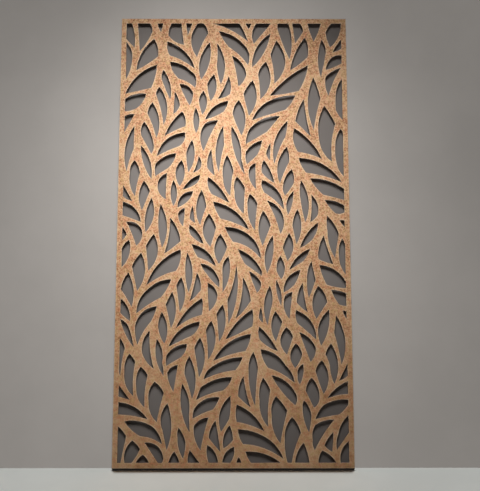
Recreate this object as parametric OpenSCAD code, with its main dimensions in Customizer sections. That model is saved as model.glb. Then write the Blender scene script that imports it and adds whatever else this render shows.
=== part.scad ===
// Laser cut metal screen with a foliage pattern, standing upright.
// A thin rust-patinated sheet is held by weld studs on a mitred frame of steel
// angle, which reaches a little below the sheet and stands on three pads. The
// front of the sheet faces -Y. The origin is on the floor, in the middle of the
// screen's width and depth.

/* [Screen] */
// Width of the sheet
screen_w = 1240; // [1200:5:1300]
// Height of the sheet
screen_h = 2400; // [2200:10:2500]
// Thickness of the sheet
sheet_t = 3; // [2:0.5:5]
// Plain border round the cut-outs
border_w = 28; // [26:1:40]
// How far the middle of a cut-out's side is opened beyond its drawn line
cut_ease = 3; // [0:0.5:4]
// Furthest that a curved cut may lie from its true curve
curve_step = 0.3; // [0.2:0.1:1]

/* [Frame] */
// Width of both legs of the angle
angle_w = 25; // [24:1:26]
// Thickness of the angle
angle_t = 3; // [2:0.5:4]
// How far the frame reaches below the sheet, as a dark shadow line
frame_drop = 5; // [0:1:8]
// Length of each arm of a corner plate, from the corner of the frame
plate_arm = 90; // [80:5:150]
// Thickness of the corner plates
plate_t = 3; // [2:0.5:4]
// Clearance between a corner plate and the angle around it
plate_gap = 0.5; // [0.3:0.1:1]

/* [Fixings] */
// Thread diameter of the studs and screws
thread_d = 5; // [4:0.5:6]
// Clearance round a thread in the hole of a bar, plate or pad, on the radius
thread_gap = 0.5; // [0.2:0.1:0.8]
// Clearance round a thread in its washer, on the radius
washer_gap = 0.2; // [0.1:0.1:0.4]
// Length of the weld studs
stud_l = 14; // [14:1:18]
// Distance of the outermost studs from the corners of the frame
stud_inset = 60; // [50:1:65]
// Number of studs along each upright
stud_rows = 8; // [6:1:9]
// Number of studs along each rail
stud_columns = 4; // [3:1:5]
// Outside diameter of the washers
washer_d = 10; // [9:0.5:12]
// Thickness of the washers
washer_t = 1; // [0.8:0.1:1.5]
// Width of the lock nuts across their flats
nut_w = 8; // [8:0.5:10]
// Height of the lock nuts
nut_h = 5; // [4:0.5:6]

/* [Wall bolts] */
// Diameter of the bolt holes in the uprights
bolt_hole_d = 9; // [7:0.5:11]
// Number of bolt holes in each upright
bolt_rows = 4; // [2:1:4]
// Distance between neighbouring bolt holes
bolt_pitch = 660; // [500:10:700]
// Distance of the bolt holes from the back of the sheet
bolt_back = 14; // [13:1:16]

/* [Feet] */
// Height of the pads
foot_h = 5; // [5:1:15]
// Gap between neighbouring pads, which run the whole width of the screen
foot_joint = 3; // [2:1:60]
// Depth of a pad from front to back
foot_d = 22; // [18:1:24]
// Length of the pad screws
foot_screw_l = 16; // [16:1:20]
// Diameter of a pad screw's head
screw_head_d = 9.5; // [8:0.5:10]
// Height of a pad screw's head
screw_head_h = 2.5; // [2:0.5:3]
// Clearance round a pad screw's head
screw_head_gap = 0.5; // [0.3:0.1:1]
// Depth of the recess that takes a pad screw's head
recess_h = 3.5; // [3.5:0.5:4.5]

/* [Hidden] */
$fn = 48;

rust = [0.74, 0.50, 0.31];
frame_brown = [0.16, 0.10, 0.07];
zinc = [0.74, 0.75, 0.77];
rubber_black = [0.08, 0.08, 0.08];

// Places along the depth, from the front face of the sheet to the back of the frame.
depth = sheet_t + angle_w;
front_y = -depth / 2;
sheet_back_y = front_y + sheet_t;
angle_back_y = sheet_back_y + angle_t;
plate_back_y = angle_back_y + plate_t;

// Line of the studs on the flat of an angle's leg, from the edge of the screen.
stud_line = (angle_t + angle_w) / 2;
hole_r = thread_d / 2 + thread_gap;
plate_w = angle_w - angle_t - 2 * plate_gap;
foot_y = sheet_back_y + angle_w / 2;
drill_over = 1;

// Places along the height.
sheet_z = foot_h + frame_drop;
frame_h = frame_drop + screen_h;
frame_middle_z = foot_h + frame_h / 2;

// Spots along a bar, measured from its middle: spread evenly between two ends, or
// at a fixed pitch.
function pitched(pitch, count) = [for (i = [0:count - 1]) (i - (count - 1) / 2) * pitch];
function spread(bar_l, inset, count) = pitched((bar_l - 2 * inset) / (count - 1), count);

rail_studs = spread(screen_w, stud_inset, stud_columns);
stile_studs = spread(frame_h, stud_inset, stud_rows);
stile_bolts = pitched(bolt_pitch, bolt_rows);

// The pads lie end to end, each with a screw in its middle.
foot_pitch = screen_w / 3;
foot_l = foot_pitch - foot_joint;
foot_spots = pitched(foot_pitch, 3);

// Every stud's place on the sheet as [x, z, thickness clamped under its washer].
// The outermost stud of each bar also holds the end of a corner plate.
function is_end(i, count) = i == 0 || i == count - 1;
function clamped(i, count) = angle_t + (is_end(i, count) ? plate_t : 0);
stud_places = concat(
  [for (side = [-1, 1], i = [0:stud_rows - 1])
    [side * (screen_w / 2 - stud_line), frame_middle_z + stile_studs[i], clamped(i, stud_rows)]],
  [for (side = [-1, 1], i = [0:stud_columns - 1])
    [rail_studs[i], frame_middle_z + side * (frame_h / 2 - stud_line), clamped(i, stud_columns)]]
);

// The cut-outs were drawn on a face of this size, with this border.
drawn_w = 1240;
drawn_h = 2400;
drawn_border = 28;

// Leaf-shaped cut-outs, in bands from the top of the face to the bottom. Each one
// is a list of corners [x, z, bow], clockwise from the front, measured from the
// face's bottom left corner. The bow is how far the side from that corner to the
// next swells outwards at its middle.
leaves = [
  // Along the top edge, from the left.
  [[28, 2372, 0], [57, 2372, 4], [74, 2234, -3], [28, 2282, 0]],
  [[28, 2266, 2], [61, 2198, 7], [30, 2052, 0]],
  [[90, 2372, 0], [156, 2372, 2], [170, 2326, 2], [103, 2212, -4]],
  [[199, 2372, 0], [229, 2372, -2], [218, 2325, 0]],
  [[277, 2372, 0], [330, 2372, -5], [346, 2251, 8], [260, 2304, 2]],
  [[358, 2372, 0], [389, 2372, -2], [366, 2302, -2]],
  [[421, 2372, 0], [452, 2372, 2], [478, 2316, -9], [418, 2180, 31]],
  [[502, 2372, 0], [651, 2372, 0], [698, 2269, -18]],
  [[687, 2372, 0], [715, 2372, 0], [702, 2341, 0]],
  [[746, 2372, 0], [824, 2372, -4], [731, 2256, 14]],
  [[863, 2372, 0], [921, 2372, 12], [926, 2168, 0], [864, 2335, 0]],
  [[944, 2372, 0], [984, 2372, 3], [1001, 2325, -2], [958, 2258, -4]],
  [[1028, 2372, 0], [1101, 2372, 0], [1061, 2270, 0]],
  [[1159, 2372, 0], [1212, 2372, 13], [1151, 2236, 0], [1128, 2321, 0]],
  // Second band.
  [[181, 2283, 6], [202, 2182, 0], [87, 2104, 19]],
  [[198, 2135, 3], [168, 2004, -3], [29, 1971, 25]],
  [[255, 2268, 24], [407, 2113, -11], [268, 2190, 4]],
  [[271, 2151, 10], [385, 2098, 6], [414, 2048, 0], [409, 2006, -10], [318, 2058, 6]],
  [[324, 2026, 12], [397, 1976, 2], [380, 1906, 0]],
  [[235, 2106, 14], [274, 1938, -2], [226, 2054, 2]],
  [[487, 2263, 20], [441, 2051, 27]],
  [[528, 2258, 28], [550, 2026, 1], [528, 2135, -7]],
  [[511, 2081, 19], [495, 1931, 0], [476, 2026, 0]],
  [[537, 2328, 15], [690, 2232, 8], [698, 2135, -11], [592, 2239, 0]],
  [[612, 2187, 14], [688, 2080, 3], [646, 2012, -7]],
  [[592, 2070, 5], [599, 1970, 2], [534, 1944, -8]],
  [[821, 2315, 16], [721, 2121, 26]],
  [[796, 2152, 36], [766, 1940, -6], [754, 2082, 4]],
  [[855, 2274, 50], [843, 2029, -9], [822, 2194, -2]],
  [[1012, 2291, 7], [1025, 2180, 0], [930, 2104, 11]],
  [[1027, 2132, 5], [975, 1988, 0], [818, 1961, 13]],
  [[1104, 2279, 3], [1126, 2208, -2], [1098, 2064, 14]],
  [[1212, 2280, 0], [1212, 2228, 0], [1165, 2208, 0]],
  [[1212, 2190, 0], [1212, 2145, 0], [1126, 2107, 2], [1150, 2168, 5]],
  [[1207, 2118, -11], [1139, 1961, 3], [1122, 2045, 4], [1138, 2081, 1]],
  // Third band.
  [[28, 1942, 9], [142, 1970, 3], [100, 1897, 3], [28, 1873, 0]],
  [[28, 1843, 2], [81, 1856, -3], [28, 1756, 0]],
  [[215, 2009, 26], [240, 1797, -9], [196, 1969, 2]],
  [[177, 1922, 22], [202, 1725, -7], [151, 1862, 2]],
  [[299, 1981, 2], [326, 1906, 2], [292, 1858, -3]],
  [[339, 1871, 6], [357, 1790, -7], [246, 1735, 8]],
  [[356, 1754, 9], [325, 1679, -7], [205, 1623, 33]],
  [[413, 1892, 15], [417, 1752, 11]],
  [[455, 1988, 18], [450, 1855, 0], [431, 1935, 2]],
  [[589, 1931, 2], [562, 1870, 1], [465, 1826, 21]],
  [[535, 1821, -8], [458, 1653, 4], [441, 1745, 26]],
  [[648, 1936, 24], [663, 1739, 0], [615, 1857, 5]],
  [[723, 2046, 28], [703, 1848, -2], [674, 1970, 2]],
  [[956, 1962, 2], [902, 1883, -4], [721, 1824, 8], [800, 1923, 8]],
  [[871, 1846, -3], [800, 1759, -3], [687, 1691, 2], [706, 1773, 19]],
  [[1002, 1942, -8], [1037, 1733, -3], [955, 1818, 3]],
  [[1055, 2063, 1], [1093, 1943, -8], [1055, 1770, 27]],
  [[1212, 2056, 0], [1212, 1826, 0], [1177, 1880, 0], [1181, 1990, 0]],
  [[1114, 1904, -1], [1172, 1803, -15], [1150, 1595, 14], [1083, 1725, 13]],
  // Fourth band.
  [[81, 1791, -4], [79, 1663, -8], [45, 1540, 26]],
  [[135, 1814, 5], [187, 1685, 2], [175, 1637, -4], [121, 1737, 7]],
  [[119, 1683, 18], [178, 1499, 12]],
  [[309, 1639, 4], [268, 1560, -4], [200, 1514, 0], [199, 1580, 10]],
  [[339, 1600, 18], [331, 1460, 2], [308, 1531, 5]],
  [[395, 1713, 19], [377, 1535, 0], [365, 1645, 0]],
  [[431, 1624, 6], [440, 1557, 0], [403, 1533, -7]],
  [[438, 1522, 3], [420, 1475, 2], [348, 1442, 8]],
  [[499, 1663, -5], [518, 1518, 0], [479, 1560, 5]],
  [[563, 1793, -3], [567, 1684, -7], [541, 1535, 25]],
  [[608, 1790, 14], [660, 1610, -2], [679, 1525, 19]],
  [[774, 1710, 0], [747, 1632, -2], [692, 1580, 2], [687, 1647, 9]],
  [[738, 1585, -6], [741, 1444, 8], [701, 1537, 7]],
  [[783, 1602, 4], [839, 1478, 1], [774, 1532, 4]],
  [[820, 1697, -4], [815, 1601, 0], [796, 1638, 0]],
  [[911, 1819, 0], [898, 1730, -9], [840, 1582, 31]],
  [[906, 1675, 2], [919, 1594, -7], [869, 1475, 27]],
  [[949, 1777, 14], [1096, 1609, -9], [968, 1648, 12]],
  [[971, 1613, 31], [1200, 1483, -10], [1011, 1534, 2]],
  [[1199, 1774, 0], [1212, 1752, 0], [1212, 1515, 3], [1178, 1580, 1], [1170, 1668, 6]],
  // Fifth band.
  [[28, 1464, -2], [76, 1380, 2], [28, 1405, 0]],
  [[87, 1601, 1], [116, 1534, -7], [92, 1405, 10], [63, 1535, 5]],
  [[138, 1488, 0], [171, 1434, -3], [131, 1329, 18]],
  [[261, 1530, -6], [257, 1388, 11], [213, 1470, 9]],
  [[297, 1491, 15], [299, 1352, 12]],
  [[402, 1432, 1], [375, 1379, 0], [320, 1344, 24]],
  [[448, 1438, 1], [473, 1349, -5], [441, 1249, 21]],
  [[483, 1509, 9], [596, 1370, -4], [503, 1417, 7]],
  [[584, 1629, 1], [618, 1544, -7], [602, 1407, 7], [565, 1500, 8]],
  [[637, 1512, 0], [680, 1450, -5], [674, 1311, 12], [626, 1430, 5]],
  [[707, 1417, 1], [747, 1366, -5], [733, 1222, 8], [696, 1345, 3]],
  [[773, 1493, 29], [889, 1334, -9], [787, 1424, 5]],
  [[932, 1551, 4], [941, 1474, -1], [896, 1409, 2], [886, 1462, 7]],
  [[941, 1433, 4], [912, 1305, 19]],
  [[982, 1491, 26], [1002, 1264, -1], [977, 1402, 0]],
  [[1031, 1501, 13], [1212, 1444, 0], [1212, 1385, -4], [1100, 1414, 2]],
  [[1108, 1383, 7], [1212, 1352, 0], [1212, 1318, 2], [1165, 1312, 0]],
  [[1186, 1276, 0], [1212, 1272, 0], [1212, 1240, 0]],
  // Sixth band.
  [[28, 1374, 21], [126, 1266, -5], [28, 1301, 0]],
  [[50, 1265, 14], [131, 1222, 10], [104, 1139, -7]],
  [[28, 1237, 0], [51, 1200, -1], [28, 1165, 0]],
  [[181, 1396, 24], [152, 1211, 13]],
  [[229, 1362, 27], [241, 1129, 12]],
  [[282, 1287, 8], [337, 1163, -1], [253, 1097, -12]],
  [[359, 1341, -2], [351, 1243, 4], [324, 1309, 4]],
  [[402, 1354, -3], [414, 1261, 0], [387, 1284, 1]],
  [[385, 1251, 8], [460, 1149, 2], [393, 1197, 2]],
  [[489, 1310, 0], [526, 1238, -2], [497, 1134, 33]],
  [[510, 1375, 29], [703, 1224, -10], [551, 1284, 1]],
  [[574, 1238, 16], [728, 1170, 5], [764, 1071, -20], [618, 1161, 0]],
  [[777, 1326, 2], [817, 1247, -3], [775, 1139, 19]],
  [[799, 1381, 19], [888, 1275, 3], [869, 1202, -11]],
  [[962, 1334, 19], [954, 1147, -3], [935, 1246, 3]],
  [[1037, 1412, 14], [1068, 1303, 0], [1029, 1264, -8]],
  [[1070, 1263, 5], [1036, 1170, 0], [972, 1126, 10]],
  [[1119, 1299, 4], [1179, 1204, -4], [1158, 1074, 7], [1121, 1215, 0]],
  [[1197, 1175, 0], [1212, 1142, 0], [1212, 988, 6], [1180, 1085, 5]],
  // Seventh band.
  [[66, 1169, 17], [29, 1025, 0], [28, 1120, 3]],
  [[196, 1201, 31], [170, 1006, -4], [156, 1136, 0]],
  [[398, 1147, 22], [526, 1030, -8], [432, 1078, 0]],
  [[549, 1201, 1], [585, 1131, 0], [543, 1043, 24]],
  [[644, 1120, 13], [766, 1010, 1], [768, 980, -4], [683, 1041, 0]],
  [[827, 1192, 13], [798, 995, 22]],
  [[915, 1206, 23], [906, 1060, -3], [882, 1126, 0]],
  [[868, 1084, 1], [891, 1022, 1], [873, 962, 0], [848, 1008, 4]],
  [[1027, 1123, 0], [990, 1058, -3], [915, 1009, 15]],
  [[1099, 1193, -6], [1147, 1043, 0], [1072, 1068, 0], [1070, 1105, 1]],
  [[130, 1101, 27], [113, 901, -3], [84, 1030, 1]],
  [[338, 1119, 8], [315, 1006, -13], [161, 930, 27]],
  [[375, 1102, 21], [383, 893, 10]],
  [[427, 995, 4], [447, 905, 0], [390, 846, -5]],
  [[446, 1043, 10], [528, 990, 5], [543, 920, 0], [476, 994, 0]],
  [[593, 1083, 17], [563, 894, -4], [562, 1005, 7]],
  [[634, 1034, 21], [594, 729, -4], [589, 855, -12]],
  [[702, 1002, 5], [764, 943, 4], [744, 891, -2]],
  [[973, 1010, 0], [940, 932, -1], [884, 891, 25]],
  [[1032, 1057, -4], [1052, 959, -2], [1017, 864, 1], [1009, 960, 4]],
  [[1075, 1036, 19], [1212, 947, 0], [1212, 915, 0], [1112, 933, 1]],
  // Eighth band.
  [[65, 996, 15], [85, 817, -6], [28, 909, 4]],
  [[291, 961, 2], [237, 866, -8], [112, 784, 12], [165, 904, 11]],
  [[344, 971, 20], [339, 791, -4], [320, 928, 0]],
  [[297, 895, 19], [293, 706, -5], [265, 829, -2]],
  [[454, 861, 2], [453, 776, -13], [319, 706, 14]],
  [[484, 942, 8], [535, 880, 7], [492, 794, -2]],
  [[564, 827, 20], [545, 636, -5], [532, 779, 0]],
  [[670, 970, 4], [710, 848, 1], [631, 755, -14]],
  [[718, 803, 2], [718, 716, -1], [579, 648, 12]],
  [[764, 814, -1], [774, 735, 0], [754, 759, 0]],
  [[811, 927, 3], [823, 835, -5], [799, 722, 21]],
  [[845, 957, 9], [870, 823, 5]],
  [[929, 893, -4], [914, 755, 8], [886, 845, 12]],
  [[984, 942, -7], [1009, 790, 0], [953, 840, 4]],
  [[1066, 926, 7], [1111, 840, -3], [1055, 755, 22]],
  [[1135, 905, 1], [1212, 887, 0], [1212, 822, 0], [1175, 830, 0]],
  [[1193, 797, 0], [1212, 792, 0], [1212, 757, 0]],
  // Ninth band.
  [[28, 860, 13], [78, 745, -1], [28, 786, 0]],
  [[28, 753, 1], [68, 721, 0], [100, 609, 5]],
  [[217, 820, 0], [187, 741, -11], [120, 622, 2], [107, 725, 21]],
  [[245, 789, 18], [260, 628, 3], [227, 715, 2]],
  [[182, 693, -12], [206, 499, 4], [147, 575, 13]],
  [[443, 739, 6], [403, 669, -5], [282, 611, 27]],
  [[377, 624, 4], [347, 558, -4], [272, 513, 0], [273, 566, 13]],
  [[504, 744, 26], [489, 545, -6], [477, 695, 0]],
  [[711, 676, 2], [682, 590, -9], [516, 539, 27]],
  [[754, 715, 4], [851, 589, 4], [758, 647, 2]],
  [[839, 793, 0], [875, 738, -3], [842, 639, 19]],
  [[896, 710, 2], [930, 662, -3], [899, 571, 29]],
  [[949, 799, 28], [1052, 648, -5], [956, 732, 3]],
  [[965, 684, 9], [1048, 607, 6], [1021, 534, -3]],
  [[946, 627, 5], [976, 565, 0], [941, 502, 24]],
  [[1120, 801, 14], [1078, 617, 31]],
  [[1158, 772, 29], [1182, 520, -6], [1147, 684, -3]],
  [[28, 654, 1], [54, 603, -8], [34, 463, 0], [28, 500, 0]],
  [[78, 575, 0], [109, 535, -10], [103, 361, 13], [56, 480, 6]],
  [[138, 508, 0], [175, 467, -10], [162, 304, 10], [119, 405, 7]],
  [[221, 650, 10], [249, 530, -1], [258, 462, 18]],
  [[331, 517, -3], [310, 383, 2], [277, 474, 8]],
  [[391, 562, 21], [407, 346, -5], [368, 470, 5]],
  [[446, 658, 23], [442, 455, -4], [417, 603, 0]],
  [[667, 556, 0], [630, 492, -11], [467, 445, 6], [512, 509, 10]],
  [[723, 583, 1], [746, 500, -6], [732, 312, 6], [700, 480, 6]],
  [[763, 596, 16], [890, 515, 6], [937, 427, -12], [800, 504, 4]],
  [[982, 522, 5], [964, 419, 2], [954, 465, 8]],
  [[1080, 541, 26], [1087, 371, -1], [1047, 487, 2]],
  [[1129, 626, 24], [1143, 422, 2], [1122, 515, -5], [1100, 572, 1]],
  [[1212, 523, 0], [1212, 463, 0], [1168, 437, -3]],
  // Tenth band.
  [[28, 416, -3], [86, 341, -3], [28, 359, 0]],
  [[28, 329, 16], [179, 244, -9], [28, 268, 0]],
  [[60, 233, 10], [200, 209, 7], [254, 121, -12], [142, 160, 3]],
  [[212, 431, 3], [260, 375, -6], [226, 231, 10], [184, 335, 10]],
  [[280, 323, 18], [279, 91, -3], [258, 187, 18]],
  [[355, 422, 12], [391, 270, -3], [395, 179, 20]],
  [[612, 455, 4], [566, 389, -10], [427, 340, -4], [450, 401, 12]],
  [[547, 353, 0], [514, 293, -7], [412, 248, 1], [420, 297, 17]],
  [[604, 361, 1], [597, 245, -2], [557, 182, 27]],
  [[672, 460, -8], [708, 304, -1], [646, 359, 5]],
  [[638, 316, 16], [778, 185, -9], [638, 231, 2]],
  [[773, 452, 0], [810, 391, -10], [799, 206, 11], [756, 335, 6]],
  [[818, 464, 14], [937, 380, 7], [939, 314, 6]],
  [[840, 358, 0], [897, 286, -6], [861, 125, 11], [819, 262, 8]],
  [[1025, 452, 8], [1064, 355, 5], [1036, 302, -3], [995, 386, 4]],
  [[985, 337, 4], [1021, 262, -2], [1009, 179, 5], [978, 300, 1]],
  [[1212, 434, 0], [1212, 371, -8], [1107, 349, 7]],
  [[1212, 341, 0], [1212, 318, 0], [1165, 268, -5], [1043, 244, 2], [1086, 313, 7]],
  [[1139, 241, -10], [1037, 91, 2], [1028, 140, 4], [1040, 212, 6]],
  [[1212, 262, 0], [1212, 176, -3], [1151, 92, 3], [1160, 172, 6]],
  // Along the bottom edge.
  [[28, 208, 0], [70, 160, -4], [44, 28, 0], [28, 28, 0]],
  [[102, 137, 0], [142, 96, 0], [100, 28, 0], [66, 28, 14]],
  [[158, 67, 1], [189, 28, 0], [123, 28, 1]],
  [[166, 127, 20], [260, 62, 3], [254, 28, 0], [236, 28, -4]],
  [[317, 83, 0], [345, 28, 0], [289, 28, 0]],
  [[339, 201, 1], [374, 131, 0], [363, 50, 5], [335, 150, 1]],
  [[398, 90, -3], [446, 28, 0], [388, 28, 1]],
  [[492, 252, -7], [452, 90, 6], [417, 195, 2], [427, 221, 4]],
  [[528, 236, -2], [554, 82, -2], [495, 151, 5]],
  [[601, 212, 1], [617, 139, -1], [571, 99, 12]],
  [[487, 115, 10], [541, 28, 0], [495, 28, 3]],
  [[623, 106, 5], [604, 28, 0], [565, 28, 13]],
  [[647, 54, 0], [661, 28, 0], [637, 28, 0]],
  [[644, 193, 7], [790, 150, 8], [876, 47, -20], [670, 121, 2]],
  [[683, 82, 14], [860, 28, 0], [711, 28, 0]],
  [[922, 254, 3], [966, 175, -9], [917, 28, 0], [898, 28, 2], [885, 140, 10]],
  [[980, 126, 1], [1008, 28, 0], [936, 28, 6]],
  [[1133, 179, -2], [1126, 82, 0], [1087, 113, 1]],
  [[1076, 87, 4], [1146, 28, 0], [1056, 28, 3]],
  [[1212, 134, 0], [1212, 28, 0], [1169, 28, 14]]
];

// From the drawn face to the screen's own field inside the border.
field_x = (screen_w - 2 * border_w) / (drawn_w - 2 * drawn_border);
field_z = (screen_h - 2 * border_w) / (drawn_h - 2 * drawn_border);
function on_field(x, z) =
  [border_w + (x - drawn_border) * field_x, border_w + (z - drawn_border) * field_z];

// A side on the border stays straight. Any other side swells a little beyond its
// drawn line, and a short one less, so that its corners stay where they are.
short_side = 60;
border_slack = 2;
function both_near(a, b, line) = max(abs(a - line), abs(b - line)) <= border_slack;
function on_border(from, to) =
  both_near(from.x, to.x, drawn_border)
  || both_near(from.x, to.x, drawn_w - drawn_border)
  || both_near(from.y, to.y, drawn_border)
  || both_near(from.y, to.y, drawn_h - drawn_border);
function opened_bow(from, to) =
  on_border(from, to) ? from.z
  : from.z + cut_ease * min(1, norm([to.x - from.x, to.y - from.y]) / short_side);

// Points along one bowed side, from its first corner up to its next one.
function side_steps(bow) = max(1, ceil(sqrt(abs(bow) / curve_step)));
function bowed_side(from, to) =
  let (
    run = [to.x - from.x, to.y - from.y],
    outward = [-run.y, run.x] / norm(run),
    bow = opened_bow(from, to),
    steps = side_steps(bow)
  )
  [for (i = [0:steps - 1])
    let (
      t = i / steps,
      swell = 4 * bow * t * (1 - t),
      p = [from.x, from.y] + t * run + swell * outward
    )
    on_field(p.x, p.y)];

function leaf_outline(leaf) =
  [for (i = [0:len(leaf) - 1])
    each bowed_side(leaf[i], leaf[(i + 1) % len(leaf)])];

// Anything drawn from a bottom left corner, set upright with that corner at the
// height z on the screen's left edge and its front at the depth y.
module upright(y, z, thickness) {
  translate([-screen_w / 2, y + thickness, z])
    rotate([90, 0, 0])
      linear_extrude(thickness)
        children();
}

module screen_sheet() {
  color(rust)
    upright(front_y, sheet_z, sheet_t)
      difference() {
        square([screen_w, screen_h]);
        for (leaf = leaves)
          polygon(leaf_outline(leaf));
      }
}

// One bar of the frame, lying along X with its outer face down on z = 0 and its
// ends mitred. Its front leg stands behind the sheet.
module angle_bar(bar_l) {
  intersection() {
    translate([-bar_l / 2, sheet_back_y, 0]) {
      cube([bar_l, angle_t, angle_w]);
      cube([bar_l, angle_w, angle_t]);
    }
    translate([0, sheet_back_y + angle_w, 0])
      rotate([90, 0, 0])
        linear_extrude(angle_w)
          polygon([
            [-bar_l / 2, 0],
            [bar_l / 2, 0],
            [bar_l / 2 - angle_w, angle_w],
            [-bar_l / 2 + angle_w, angle_w]
          ]);
  }
}

// Drill through a bar's front leg.
module stud_drill(x) {
  translate([x, angle_back_y + drill_over, stud_line])
    rotate([90, 0, 0])
      cylinder(h = angle_t + 2 * drill_over, r = hole_r);
}

// Drill through a bar's outer leg.
module outer_drill(x, y, radius) {
  translate([x, y, -drill_over])
    cylinder(h = angle_t + 2 * drill_over, r = radius);
}

module rail(drill_feet) {
  color(frame_brown)
    difference() {
      angle_bar(screen_w);
      for (x = rail_studs)
        stud_drill(x);
      if (drill_feet)
        for (x = foot_spots)
          outer_drill(x, foot_y, hole_r);
    }
}

module stile() {
  color(frame_brown)
    translate([-screen_w / 2, 0, frame_middle_z])
      rotate([0, 90, 0])
        difference() {
          angle_bar(frame_h);
          for (x = stile_studs)
            stud_drill(x);
          for (x = stile_bolts)
            outer_drill(x, sheet_back_y + bolt_back, bolt_hole_d / 2);
        }
}

module stile_left() {
  stile();
}

module stile_right() {
  mirror([1, 0, 0])
    stile();
}

module rail_bottom() {
  translate([0, 0, foot_h])
    rail(true);
}

module rail_top() {
  translate([0, 0, foot_h + frame_h])
    mirror([0, 0, 1])
      rail(false);
}

// Plate over the mitre at the bottom left corner, with round ends on both arms.
module corner_plate() {
  edge = angle_t + plate_gap;
  color(frame_brown)
    difference() {
      upright(angle_back_y, foot_h, plate_t)
        union() {
          translate([edge, edge])
            square([plate_arm - edge - plate_w / 2, plate_w]);
          translate([edge, edge])
            square([plate_w, plate_arm - edge - plate_w / 2]);
          translate([plate_arm - plate_w / 2, edge + plate_w / 2])
            circle(d = plate_w);
          translate([edge + plate_w / 2, plate_arm - plate_w / 2])
            circle(d = plate_w);
        }
      plate_drill(stud_inset, stud_line);
      plate_drill(stud_line, stud_inset);
    }
}

module plate_drill(x, z) {
  translate([x - screen_w / 2, plate_back_y + drill_over, foot_h + z])
    rotate([90, 0, 0])
      cylinder(h = plate_t + 2 * drill_over, r = hole_r);
}

module corner_plate_bottom_left() {
  corner_plate();
}

module corner_plate_bottom_right() {
  mirror([1, 0, 0])
    corner_plate();
}

module corner_plate_top_left() {
  translate([0, 0, 2 * frame_middle_z])
    mirror([0, 0, 1])
      corner_plate();
}

module corner_plate_top_right() {
  mirror([1, 0, 0])
    corner_plate_top_left();
}

// A round or hexagonal piece lying along Y, from the depth y towards the back.
module along_depth(x, y, z) {
  translate([x, y, z])
    rotate([-90, 0, 0])
      children();
}

module washer() {
  difference() {
    cylinder(h = washer_t, d = washer_d);
    translate([0, 0, -drill_over])
      cylinder(h = washer_t + 2 * drill_over, r = thread_d / 2 + washer_gap);
  }
}

module lock_nut() {
  difference() {
    cylinder(h = nut_h, d = nut_w / cos(30), $fn = 6);
    translate([0, 0, -drill_over])
      cylinder(h = nut_h + 2 * drill_over, d = thread_d);
  }
}

// Studs welded to the back of the sheet.
module weld_studs() {
  color(zinc)
    for (place = stud_places)
      along_depth(place[0], sheet_back_y, place[1])
        cylinder(h = stud_l, d = thread_d);
}

module washers() {
  color(zinc) {
    for (place = stud_places)
      along_depth(place[0], sheet_back_y + place[2], place[1])
        washer();
    for (x = foot_spots)
      translate([x, foot_y, foot_h + angle_t])
        washer();
  }
}

module lock_nuts() {
  color(zinc) {
    for (place = stud_places)
      along_depth(place[0], sheet_back_y + place[2] + washer_t, place[1])
        lock_nut();
    for (x = foot_spots)
      translate([x, foot_y, foot_h + angle_t + washer_t])
        lock_nut();
  }
}

// Pad under the bottom rail, with a recess below for the head of its screw.
module foot_pad(x) {
  color(rubber_black)
    difference() {
      translate([x - foot_l / 2, foot_y - foot_d / 2, 0])
        cube([foot_l, foot_d, foot_h]);
      translate([x, foot_y, -drill_over])
        cylinder(h = foot_h + 2 * drill_over, r = hole_r);
      translate([x, foot_y, -drill_over])
        cylinder(h = recess_h + drill_over, r = screw_head_d / 2 + screw_head_gap);
    }
}

module foot_pad_left() {
  foot_pad(foot_spots[0]);
}

module foot_pad_middle() {
  foot_pad(foot_spots[1]);
}

module foot_pad_right() {
  foot_pad(foot_spots[2]);
}

// Screws up through the pads and the bottom rail.
module foot_screws() {
  color(zinc)
    for (x = foot_spots)
      translate([x, foot_y, recess_h]) {
        cylinder(h = foot_screw_l, d = thread_d);
        translate([0, 0, -screw_head_h])
          cylinder(h = screw_head_h, d = screw_head_d);
      }
}

screen_sheet();
stile_left();
stile_right();
rail_top();
rail_bottom();
corner_plate_top_left();
corner_plate_top_right();
corner_plate_bottom_left();
corner_plate_bottom_right();
weld_studs();
washers();
lock_nuts();
foot_pad_left();
foot_pad_middle();
foot_pad_right();
foot_screws();
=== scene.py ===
"""Dresses the laser cut metal screen: a rust patina sheet on a dark angle steel frame."""

import logging
import math
from contextlib import contextmanager
from dataclasses import dataclass
from enum import Enum, IntEnum
from typing import Iterable, Iterator, Optional, Union

import bpy
from mathutils import Euler, Matrix, Vector


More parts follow.
